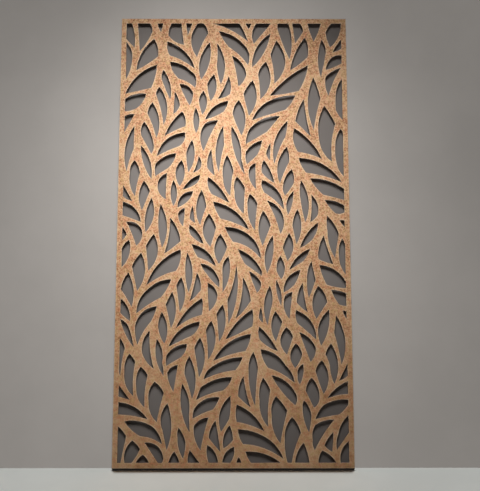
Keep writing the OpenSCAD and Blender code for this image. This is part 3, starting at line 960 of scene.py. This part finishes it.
@dataclass
class ScreenSheet:
    """The laser cut sheet, with eased front edges and a ring round every cut-out for the pale rim of wear and
    painted highlight.

    A face is on the front or the back when its normal leans that way by more than leaning, and right on the
    front by more than facing.
    """

    node: str = "screen_sheet"
    easing: float = 0.0004
    rim: float = 0.0056
    leaning: float = 0.5
    facing: float = 0.99

    def build(self) -> None:
        """Build and dress the sheet."""
        sheet = merged_copy(self.node, "patterned_sheet", whole_faces=False)
        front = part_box(self.node)[0].y
        inner = {
            face.index
            for face in sheet.data.polygons
            if face.normal.y < -self.facing and abs(face.center.y - front) < ON_PLANE
        }
        inner = self._ringed(sheet, inner, self.easing)
        self._ease(sheet, front)
        inner = self._ringed(sheet, inner, self.rim)
        inner = self._refilled(sheet, inner)
        self._mark_rim(sheet, inner)
        dress(sheet, [RustPatina().material(), CutEdge().material(), BareBack().material()])
        for face in sheet.data.polygons:
            face.material_index = self._side(face.normal.y)
        adopt(sheet, [self.node])

    def _side(self, lean: float) -> Side:
        """Return the side that a face is on, from its normal's lean to the back."""
        if abs(lean) <= self.leaning:
            return Side.CUT
        return Side.FRONT if lean < 0.0 else Side.BACK

    @staticmethod
    def _selected(sheet: bpy.types.Object) -> set[int]:
        """Return the numbers of the selected faces."""
        return {face.index for face in sheet.data.polygons if face.select}

    def _ringed(self, sheet: bpy.types.Object, inner: set[int], width: float) -> set[int]:
        """Run a ring of faces round the edge of a stretch of the front.

        Args:
            sheet: the sheet.
            inner: the faces of the stretch.
            width: the ring's width.

        Returns:
            The faces inside the ring.
        """
        pick_faces(sheet, inner)
        with editing("FACE"):
            bpy.ops.mesh.inset(thickness=width, depth=0.0, use_even_offset=False, use_boundary=True)
        return self._selected(sheet)

    def _ease(self, sheet: bpy.types.Object, front: float) -> None:
        """Lower the outermost edge of the front by the easing.

        Args:
            sheet: the sheet.
            front: how far back the front is.
        """
        walls = [face for face in sheet.data.polygons if abs(face.normal.y) < self.leaning]
        pick_faces(sheet, set())
        for index in {corner for face in walls for corner in face.vertices}:
            vertex = sheet.data.vertices[index]
            vertex.select = abs(vertex.co.y - front) < ON_PLANE
        with editing("VERT"):
            bpy.ops.transform.translate(value=(0.0, self.easing, 0.0))

    def _refilled(self, sheet: bpy.types.Object, inner: set[int]) -> set[int]:
        """Fill the middle of the front anew, so that no thin face is folded.

        Args:
            sheet: the sheet.
            inner: the faces of the middle.

        Returns:
            The new faces.
        """
        pick_faces(sheet, inner)
        with editing("FACE"):
            bpy.ops.mesh.delete(type="FACE")
            bpy.ops.mesh.select_all(action="DESELECT")
            bpy.ops.mesh.select_mode(type="EDGE")
            bpy.ops.mesh.select_non_manifold(extend=False)
            bpy.ops.mesh.fill(use_beauty=True)
        return self._selected(sheet)

    @staticmethod
    def _mark_rim(sheet: bpy.types.Object, inner: set[int]) -> None:
        """Write the rim attribute: 1 at the cut edge, 0 inside the ring.

        Args:
            sheet: the sheet.
            inner: the faces inside the ring.
        """
        middle = {corner for index in inner for corner in sheet.data.polygons[index].vertices}
        marks = sheet.data.attributes.new(RIM, "FLOAT", "POINT")
        marks.data.foreach_set("value", [float(v.index not in middle) for v in sheet.data.vertices])


@dataclass
class AngleFrame:
    """The angle steel frame with its corner plates and corner welds.

    A weld has its radius and ripple, its gaps to the corner plate and to the frame's back, the shares of its
    radius at its start, in its valleys and at its end, and the share by which it is sunk into the corner.
    """

    bars: tuple[str, ...] = ("stile_left", "stile_right", "rail_top", "rail_bottom")
    plates: tuple[str, ...] = (
        "corner_plate_top_left",
        "corner_plate_top_right",
        "corner_plate_bottom_left",
        "corner_plate_bottom_right",
    )
    thickness: float = 0.003
    bar_easing: Easing = Easing(0.0006)
    plate_easing: Easing = Easing(0.0004)
    weld_radius: float = 0.0023
    weld_ripple: float = 0.0013
    weld_plate_gap: float = 0.0002
    weld_back_gap: float = 0.0006
    weld_start: float = 0.55
    weld_valley: float = 0.86
    weld_end: float = 0.45
    weld_end_step: float = 0.02
    weld_sunk: float = 0.35
    weld_turn: float = 0.3
    weld_sides: int = 12
    weld_smooth: float = 50.0

    def build(self) -> None:
        """Build the bars, the plates and the welds."""
        paint = FramePaint().material()
        rubbed = RubbedEdge().material()
        for names, easing in ((self.bars, self.bar_easing), (self.plates, self.plate_easing)):
            for name in names:
                adopt(easing.copy(name, paint, rubbed), [name])
        self._welds()

    def _welds(self) -> None:
        """Lay a rippled bead into each inner corner of the frame, from its plate to the back."""
        low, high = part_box("rail_bottom")[0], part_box("rail_top")[1]
        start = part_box(self.plates[0])[1].y + self.weld_plate_gap
        count = round((high.y - self.weld_back_gap - start) / self.weld_ripple)
        radii = (self.weld_radius, self.weld_valley * self.weld_radius)
        outline = [
            (self.weld_start * self.weld_radius, 0.0),
            *ripples(0.0, self.weld_ripple, count, radii),
            (self.weld_end * self.weld_radius, (count + self.weld_end_step) * self.weld_ripple),
        ]
        model = turned("weld_model", outline, self.weld_sides)
        inset = self.thickness + self.weld_sunk * self.weld_radius
        places = []
        for side in (low.x + inset, high.x - inset):
            for height in (low.z + inset, high.z - inset):
                corner = Vector((side, start, height))
                places.append(Seat(corner, corner).along("Y", self.weld_turn * len(places)))
        welds = copied_to(model, places, "corner_welds")
        dress(welds, [WeldBead().material()])
        smooth(welds, self.weld_smooth)
        adopt(welds, [])


@dataclass
class Fixings:
    """Threaded studs, washers, lock nuts and foot screws.

    The collar's, nylon's and head's rounds are rings, each with its share of the radius and its depth below
    the nut's top, or its height above the head's crown.
    """

    thread_radius: float = 0.0025
    core_radius: float = 0.0021
    pitch: float = 0.0008
    plain_end: float = 0.0008
    chamfer: float = 0.0002
    chamfer_share: float = 0.8
    thread_sides: int = 16
    nut_across: float = 0.008
    nut_sides: int = 6
    nut_height: float = 0.005
    nut_share: float = 0.93
    nut_chamfer: float = 0.0004
    nut_corner: float = 0.0005
    collar_height: float = 0.0013
    collar_radius: float = 0.00355
    collar_sunk: float = 0.0004
    collar_round: tuple[Span, ...] = ((1.0, 0.0006), (0.97, 0.0002), (0.91, 0.0))
    nylon_radius: float = 0.0030
    nylon_round: tuple[Span, ...] = ((1.0, 0.0001), (1.0, 0.0003), (0.93, 0.0001))
    nylon_depth: float = 0.00028
    bore_depth: float = 0.0002
    head_radius: float = 0.00475
    head_height: float = 0.0025
    head_round: tuple[Span, ...] = ((0.55, 0.0), (0.80, 0.0003), (0.96, 0.0010), (1.0, 0.0016))
    recess_arm: float = 0.0021
    recess_width: float = 0.0009
    recess_depth: float = 0.0013
    round_sides: int = 24
    washer_easing: Easing = Easing(0.00016)
    smooth_degrees: float = 40.0
    stud_turn: float = 0.7
    nut_turn: float = 0.37
    screw_turn: float = 0.5
    slack: float = 0.001

    def build(self) -> None:
        """Build every kind of fixing."""
        zinc = ZincPlate().material()
        self._studs(zinc)
        self._nuts(zinc)
        self._screws(zinc)
        adopt(self.washer_easing.copy("washers", zinc, zinc), ["washers"])

    def _thread(self, start: float, end: float) -> Outline:
        """Return a thread's outline, with a plain start and a chamfered end.

        Args:
            start: the height where it starts.
            end: the height where it ends.

        Returns:
            The radius and height of each ring.
        """
        first = start + self.plain_end
        turns = int((end - first) / self.pitch) - 1
        return [
            (self.thread_radius, start),
            (self.thread_radius, first),
            *ripples(first, self.pitch, turns, (self.core_radius, self.thread_radius)),
            (self.core_radius, end - self.chamfer),
            (self.chamfer_share * self.core_radius, end),
        ]

    def _finished(self, piece: bpy.types.Object, node: str, materials: list[bpy.types.Material]) -> None:
        """Smooth, dress and adopt one kind of fixing.

        Args:
            piece: the joined copies.
            node: the CAD node that they stand for.
            materials: their finishes.
        """
        dress(piece, materials)
        smooth(piece, self.smooth_degrees)
        adopt(piece, [node])

    def _studs(self, zinc: bpy.types.Material) -> None:
        """Build the weld studs.

        Args:
            zinc: their finish.
        """
        found = seats("weld_studs")
        length = found[0].high.y - found[0].low.y
        model = turned("stud_model", self._thread(0.0, length), self.thread_sides)
        places = [seat.along("Y", self.stud_turn * number) for number, seat in enumerate(found)]
        self._finished(copied_to(model, places, "threaded_studs"), "weld_studs", [zinc])

    def _nuts(self, zinc: bpy.types.Material) -> None:
        """Build the lock nuts: a hexagon with eased corners, a collar and its nylon ring.

        Args:
            zinc: the nuts' finish.
        """
        shoulder = self.nut_height - self.collar_height
        corner = self.nut_across / 2.0 / math.cos(math.pi / self.nut_sides)
        rings = [(self.nut_share * corner, 0.0), (corner, self.nut_chamfer), (corner, shoulder)]
        hexagon = turned("hexagon", rings, self.nut_sides)
        only(hexagon)
        with editing():
            bpy.ops.mesh.bevel(offset=self.nut_corner, segments=1, affect="VERTICES")
        top = self.nut_height
        rings = [
            (self.collar_radius, shoulder - self.collar_sunk),
            *((share * self.collar_radius, top - depth) for share, depth in self.collar_round),
            *((share * self.nylon_radius, top - depth) for share, depth in self.nylon_round),
            (self.thread_radius, top - self.bore_depth),
        ]
        collar = turned("collar", rings, self.round_sides)
        model = joined([hexagon, collar], "nut_model")
        dress(model, [zinc, zinc])
        for face in model.data.polygons:
            centre = Vector(face.center)
            inside = math.hypot(centre.x, centre.y) < self.nylon_radius
            face.material_index = int(inside and centre.z > top - self.nylon_depth)
        places = []
        for number, seat in enumerate(seats("lock_nuts")):
            upright = seat.high.y - seat.low.y > self.nut_height + self.slack
            places.append(seat.along("Z" if upright else "Y", self.nut_turn * number))
        finishes = [zinc, NylonRing().material()]
        self._finished(copied_to(model, places, "nylon_lock_nuts"), "lock_nuts", finishes)

    def _screws(self, zinc: bpy.types.Material) -> None:
        """Build the foot screws: a domed head with a cross recess, and a thread.

        Args:
            zinc: their finish.
        """
        found = seats("foot_screws")
        length = found[0].high.z - found[0].low.z
        head = [(share * self.head_radius, height) for share, height in self.head_round]
        neck = (self.head_radius, self.head_height)
        rings = [*head, neck, *self._thread(self.head_height, length)]
        model = turned("screw_model", rings, self.round_sides)
        long, short = self.recess_arm, self.recess_width / 2.0
        arms = []
        for size in ((long, short, self.recess_depth), (short, long, self.recess_depth)):
            bpy.ops.object.select_all(action="DESELECT")
            bpy.ops.mesh.primitive_cube_add(size=2.0, location=(0.0, 0.0, 0.0))
            arm = bpy.context.object
            arm.scale = size
            settle()
            arms.append(arm)
        for arm in arms:
            cut = model.modifiers.new("recess", "BOOLEAN")
            cut.object = arm
            cut.operation = "DIFFERENCE"
            only(model)
            bpy.ops.object.modifier_apply(modifier="recess")
            bpy.data.objects.remove(arm)
        places = [seat.along("Z", self.screw_turn * number) for number, seat in enumerate(found)]
        self._finished(copied_to(model, places, "pan_head_screws"), "foot_screws", [zinc])


@dataclass
class FloorPads:
    """The rubber pads under the bottom rail."""

    nodes: tuple[str, ...] = ("foot_pad_left", "foot_pad_middle", "foot_pad_right")
    easing: Easing = Easing(0.0008, 3)

    def build(self) -> None:
        """Build the pads."""
        rubber = PadRubber().material()
        for name in self.nodes:
            adopt(self.easing.copy(name, rubber, rubber), [name])


# ---------------------------------------------------------------- the studio


class Reach(Enum):
    """What a lamp lights."""

    NOT_THE_FLOOR = "the object and the wall"
    OBJECT_ALONE = "the object alone"
    OBJECT_THROUGH_WALL = "the object alone, through the wall"
    FLOOR_BY_THE_FOOT = "the floor alone, past the bottom rail and the pads"


@dataclass(frozen=True)
class Softbox:
    """One soft square lamp, with its side in metres and its spread in degrees."""

    name: str
    place: Point
    aim: Point
    side: float
    watts: float
    reach: Reach
    spread: float = 180.0


@dataclass
class Studio:
    """Pale floor, plain wall with a darker panel of painted shade right behind the screen, soft lamps and the
    camera.

    A glow is how much of a colour the eye sees whatever the light. The floor's glow begins and is full at the
    two distances of floor_fade, and floor_thrown is how much of its colour it throws on to other things.
    """

    floor: Colour = shade(232, 234, 229)
    wall: Colour = shade(190, 184, 178)
    # painted shade: a darker panel behind the screen, where the screen's shade would fall on the wall
    painted_shade_panel: Colour = shade(141, 134, 129)
    cloud: Cloud = Cloud(0.6, 5.0, 0.6)
    cloudy: Span = (0.3, 0.7)
    cloud_shade: float = 0.93
    wall_gap: float = 0.001
    painted_shade_panel_inset: float = 0.003
    floor_glow: float = 0.85
    floor_fade: Span = (1.3, 4.5)
    floor_thrown: float = 0.3
    wall_glow: float = 0.40
    wall_half: float = 3.2
    wall_height: float = 3.4
    floor_half: float = 9.0
    sky: float = 0.015
    surround: Colour = shade(214, 212, 208)
    stage: tuple[str, ...] = ("studio_floor", "studio_wall", "studio_painted_shade_panel")
    foot: tuple[str, ...] = ("rail_bottom", *FloorPads.nodes)
    lamps: tuple[Softbox, ...] = (
        Softbox(
            "key_lamp", (-0.017, -1.868, 2.584), (-0.174, 0.0, 1.365), 0.9, 10.5, Reach.NOT_THE_FLOOR, 68.0
        ),
        Softbox("overhead", (0.0, -2.2, 3.6), (0.0, -1.5, 0.0), 1.6, 5.0, Reach.OBJECT_ALONE, 120.0),
        Softbox("left_fill", (-4.0, -1.6, 1.6), (-0.5, 0.0, 1.2), 1.8, 3.0, Reach.OBJECT_ALONE),
        Softbox("right_fill", (4.0, -1.6, 1.6), (0.5, 0.0, 1.2), 1.8, 2.0, Reach.OBJECT_ALONE),
        Softbox("rear_lamp", (1.0, 2.6, 2.6), (0.0, 0.0, 1.2), 1.6, 80.0, Reach.OBJECT_THROUGH_WALL),
        Softbox("floor_lamp", (0.0, 7.0, 7.0), (0.0, 0.0, 0.0), 4.6, 750.0, Reach.FLOOR_BY_THE_FOOT),
    )
    eye: Point = (0.0292, -2.3191, 0.9619)
    eye_tilt: float = 94.653
    eye_turn: float = -0.123
    lens: float = 31.953
    film_width: float = 36.0

    def build(self) -> None:
        """Build the whole studio."""
        self._floor()
        self._wall()
        for box in self.lamps:
            self._softbox(box)
        self._world()
        self._camera()

    def _plane(self, name: str, size: Point, place: Point, turn: Point) -> bpy.types.Object:
        """Return a stage plane.

        Args:
            name: its name.
            size: its size along its own axes.
            place: its middle.
            turn: its turn in radians.

        Returns:
            The plane, marked as stage.
        """
        bpy.ops.object.select_all(action="DESELECT")
        bpy.ops.mesh.primitive_plane_add(size=1.0, location=place, rotation=turn)
        plane = bpy.context.object
        plane.name = name
        plane.scale = size
        settle()
        return plane

    def _matt(
        self,
        name: str,
        colour: Colour,
        glow: float = 0.0,
        fade: Optional[Span] = None,
        thrown: float = 1.0,
        see_through_behind: bool = False,
    ) -> bpy.types.Material:
        """Return a plain matt stage material.

        Args:
            name: its name.
            colour: its colour.
            glow: how much of its own colour the eye sees whatever the light.
            fade: how far from the frame's zero point the glow begins and is full, or None for all over.
            thrown: how much of its colour it throws on to other things.
            see_through_behind: whether its back lets the eye through.

        Returns:
            The material.
        """
        sheet = ShaderSheet(name)
        darker = (*(self.cloud_shade * part for part in colour[:3]), 1.0)
        tone = sheet.blend(colour, darker, sheet.cloud(self.cloud).between(self.cloudy))
        if thrown < 1.0:
            tone = sheet.blend(shade(0, 0, 0), tone, self._seen(sheet).at_least(thrown))
        shader = sheet.node("ShaderNodeBsdfDiffuse", values={"Color": tone})
        if glow:
            shown = sheet.node("ShaderNodeEmission", values={"Color": tone, "Strength": 1.0})
            share = self._seen(sheet) * glow
            if fade:
                point = sheet.place()
                away = sheet.node("ShaderNodeVectorMath", {"operation": "LENGTH"}, {0: point}, "Value")
                share = share * away.between(fade)
            shader = sheet.node("ShaderNodeMixShader", values={0: share, 1: shader, 2: shown})
        if see_through_behind:
            behind = sheet.node("ShaderNodeNewGeometry", output="Backfacing")
            eye = sheet.node("ShaderNodeLightPath", output="Is Camera Ray")
            clear = sheet.node("ShaderNodeBsdfTransparent")
            shader = sheet.node("ShaderNodeMixShader", values={0: behind * eye, 1: shader, 2: clear})
        sheet.node("ShaderNodeOutputMaterial", values={"Surface": shader})
        return sheet.owner

    @staticmethod
    def _seen(sheet: ShaderSheet) -> Signal:
        """Return 1 for rays from the eye, from gloss and through glass, or else 0, on the given sheet."""
        kinds = ("Is Camera Ray", "Is Glossy Ray", "Is Transmission Ray")
        eye, gloss, glass = (sheet.node("ShaderNodeLightPath", output=kind) for kind in kinds)
        return eye.at_least(gloss).at_least(glass)

    def _floor(self) -> None:
        """Lay the floor."""
        side = 2.0 * self.floor_half
        floor = self._plane("studio_floor", (side, side, 1.0), (0.0, 0.0, 0.0), (0.0, 0.0, 0.0))
        matt = self._matt("studio_floor", self.floor, self.floor_glow, self.floor_fade, self.floor_thrown)
        dress(floor, [matt])

    def _wall(self) -> None:
        """Stand the wall just behind the screen, and before it a darker panel of the screen's size as painted
        shade.
        """
        low, high = CAD_BOX
        back = high.y + self.wall_gap
        upright = (QUARTER_TURN, 0.0, 0.0)
        # a darker panel the size of the screen, as painted shade on the wall behind it
        size = (high.x - low.x - 2.0 * self.painted_shade_panel_inset, high.z - 2.0 * self.painted_shade_panel_inset, 1.0)
        painted_shade_panel = self._plane("studio_painted_shade_panel", size, (0.0, back, high.z / 2.0), upright)
        dress(painted_shade_panel, [self._matt("studio_painted_shade_panel", self.painted_shade_panel, see_through_behind=True)])
        size = (2.0 * self.wall_half, self.wall_height, 1.0)
        place = (0.0, back + self.wall_gap, self.wall_height / 2.0)
        wall = self._plane("studio_wall", size, place, upright)
        dress(wall, [self._matt("studio_wall", self.wall, self.wall_glow, see_through_behind=True)])

    @staticmethod
    def _group(name: str, members: Iterable[str], state: str) -> bpy.types.Collection:
        """Return a collection that takes part in a lamp's light, or stays out of it.

        Args:
            name: its name.
            members: the names of its objects.
            state: INCLUDE or EXCLUDE.

        Returns:
            The collection.
        """
        group = bpy.data.collections.new(name)
        for member in members:
            group.objects.link(bpy.data.objects[member])
        for link in group.collection_objects:
            link.light_linking.link_state = state
        return group

    def _softbox(self, box: Softbox) -> None:
        """Hang one lamp.

        Args:
            box: the lamp's facts.
        """
        data = bpy.data.lights.new(box.name, "AREA")
        data.shape = "SQUARE"
        data.size = box.side
        data.energy = box.watts
        data.spread = math.radians(box.spread)
        lamp = linked(box.name, data)
        lamp.location = box.place
        lamp.rotation_euler = (Vector(box.aim) - Vector(box.place)).to_track_quat("-Z", "Y").to_euler()
        linking = lamp.light_linking
        if box.reach is Reach.FLOOR_BY_THE_FOOT:
            blockers = [name + EASED for name in self.foot]
            linking.receiver_collection = self._group(box.name + "_lights", ["studio_floor"], "INCLUDE")
            linking.blocker_collection = self._group(box.name + "_passes", blockers, "INCLUDE")
            return
        spared = ("studio_floor",) if box.reach is Reach.NOT_THE_FLOOR else self.stage
        linking.receiver_collection = self._group(box.name + "_spares", spared, "EXCLUDE")
        if box.reach is Reach.OBJECT_THROUGH_WALL:
            linking.blocker_collection = linking.receiver_collection

    def _world(self) -> None:
        """Light the surroundings a little, and show them pale."""
        sheet = ShaderSheet("studio_world", world=True)
        white = shade(255, 255, 255)
        dim = sheet.node("ShaderNodeBackground", values={"Color": white, "Strength": self.sky})
        pale = sheet.node("ShaderNodeBackground", values={"Color": self.surround, "Strength": 1.0})
        both = sheet.node("ShaderNodeMixShader", values={0: self._seen(sheet), 1: dim, 2: pale})
        sheet.node("ShaderNodeOutputWorld", values={"Surface": both})
        bpy.context.scene.world = sheet.owner

    def _camera(self) -> None:
        """Place the camera: low, a step back, looking a little up."""
        data = bpy.data.cameras.new("camera")
        data.lens = self.lens
        data.sensor_width = self.film_width
        camera = linked("camera", data)
        camera.location = self.eye
        camera.rotation_euler = (math.radians(self.eye_tilt), 0.0, math.radians(self.eye_turn))
        bpy.context.scene.camera = camera


def main() -> None:
    """Build and dress every sub-assembly in order."""
    logging.basicConfig(level=logging.INFO, format="%(name)s: %(message)s")
    bpy.context.scene.view_settings.view_transform = "Standard"
    for part in (ScreenSheet(), AngleFrame(), Fixings(), FloorPads(), Studio()):
        part.build()


if __name__ == "__main__":
    main()
